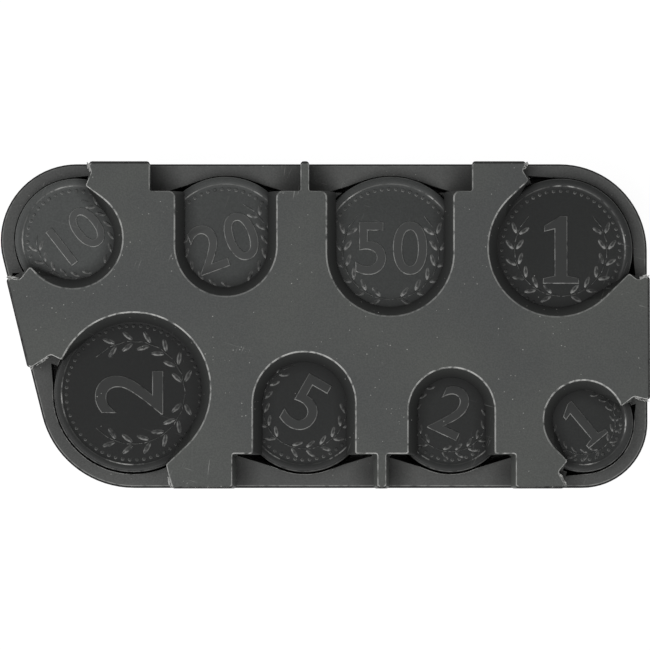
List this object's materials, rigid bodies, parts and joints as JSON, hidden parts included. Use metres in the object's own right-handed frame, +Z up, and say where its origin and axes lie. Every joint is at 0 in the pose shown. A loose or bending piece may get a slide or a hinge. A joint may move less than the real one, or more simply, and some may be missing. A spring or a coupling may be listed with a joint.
{
  "type": "coin holder",
  "caption": "Flat pocket coin holder with spring-loaded pusher discs in round wells, held under the lips of a cover; coins slide out sideways over a low ledge.",
  "frame": {"origin": "middle of the plan at the underside of the case", "axes": "+X along the case, away from its slanted end; +Z up, out of the wells"},
  "size_m": [0.105, 0.0528, 0.019],
  "materials": {
    "cover_plastic": "spark-eroded matte",
    "body_plastic": "spark-eroded matte",
    "base_plastic": "matte",
    "pusher_plastic": "satin",
    "spring_steel": "drawn wire",
    "screw_steel": "zinc plated"
  },
  "bodies": {
    "case": {"cover": "cover_plastic", "body": "body_plastic", "base_plate": "base_plastic", "case_screws": "screw_steel", "spring_010": "spring_steel", "spring_020": "spring_steel", "spring_050": "spring_steel", "spring_100": "spring_steel", "spring_200": "spring_steel", "spring_005": "spring_steel", "spring_002": "spring_steel", "spring_001": "spring_steel"},
    "pusher_010": {"pusher_010": "pusher_plastic"},
    "pusher_020": {"pusher_020": "pusher_plastic"},
    "pusher_050": {"pusher_050": "pusher_plastic"},
    "pusher_100": {"pusher_100": "pusher_plastic"},
    "pusher_200": {"pusher_200": "pusher_plastic"},
    "pusher_005": {"pusher_005": "pusher_plastic"},
    "pusher_002": {"pusher_002": "pusher_plastic"},
    "pusher_001": {"pusher_001": "pusher_plastic"}
  },
  "joints": [
    {"name": "push_010", "type": "slide", "parent": "case", "child": "pusher_010", "axis": [0, 0, 1], "range_m": [-0.0096, 0], "stiffness_N_per_m": 150, "springref_m": 0.006, "deforming": ["spring_010"]},
    {"name": "push_020", "type": "slide", "parent": "case", "child": "pusher_020", "axis": [0, 0, 1], "range_m": [-0.0096, 0], "stiffness_N_per_m": 150, "springref_m": 0.006, "deforming": ["spring_020"]},
    {"name": "push_050", "type": "slide", "parent": "case", "child": "pusher_050", "axis": [0, 0, 1], "range_m": [-0.0096, 0], "stiffness_N_per_m": 150, "springref_m": 0.006, "deforming": ["spring_050"]},
    {"name": "push_100", "type": "slide", "parent": "case", "child": "pusher_100", "axis": [0, 0, 1], "range_m": [-0.0096, 0], "stiffness_N_per_m": 150, "springref_m": 0.006, "deforming": ["spring_100"]},
    {"name": "push_200", "type": "slide", "parent": "case", "child": "pusher_200", "axis": [0, 0, 1], "range_m": [-0.0096, 0], "stiffness_N_per_m": 150, "springref_m": 0.006, "deforming": ["spring_200"]},
    {"name": "push_005", "type": "slide", "parent": "case", "child": "pusher_005", "axis": [0, 0, 1], "range_m": [-0.0096, 0], "stiffness_N_per_m": 150, "springref_m": 0.006, "deforming": ["spring_005"]},
    {"name": "push_002", "type": "slide", "parent": "case", "child": "pusher_002", "axis": [0, 0, 1], "range_m": [-0.0096, 0], "stiffness_N_per_m": 150, "springref_m": 0.006, "deforming": ["spring_002"]},
    {"name": "push_001", "type": "slide", "parent": "case", "child": "pusher_001", "axis": [0, 0, 1], "range_m": [-0.0096, 0], "stiffness_N_per_m": 150, "springref_m": 0.006, "deforming": ["spring_001"]}
  ]
}
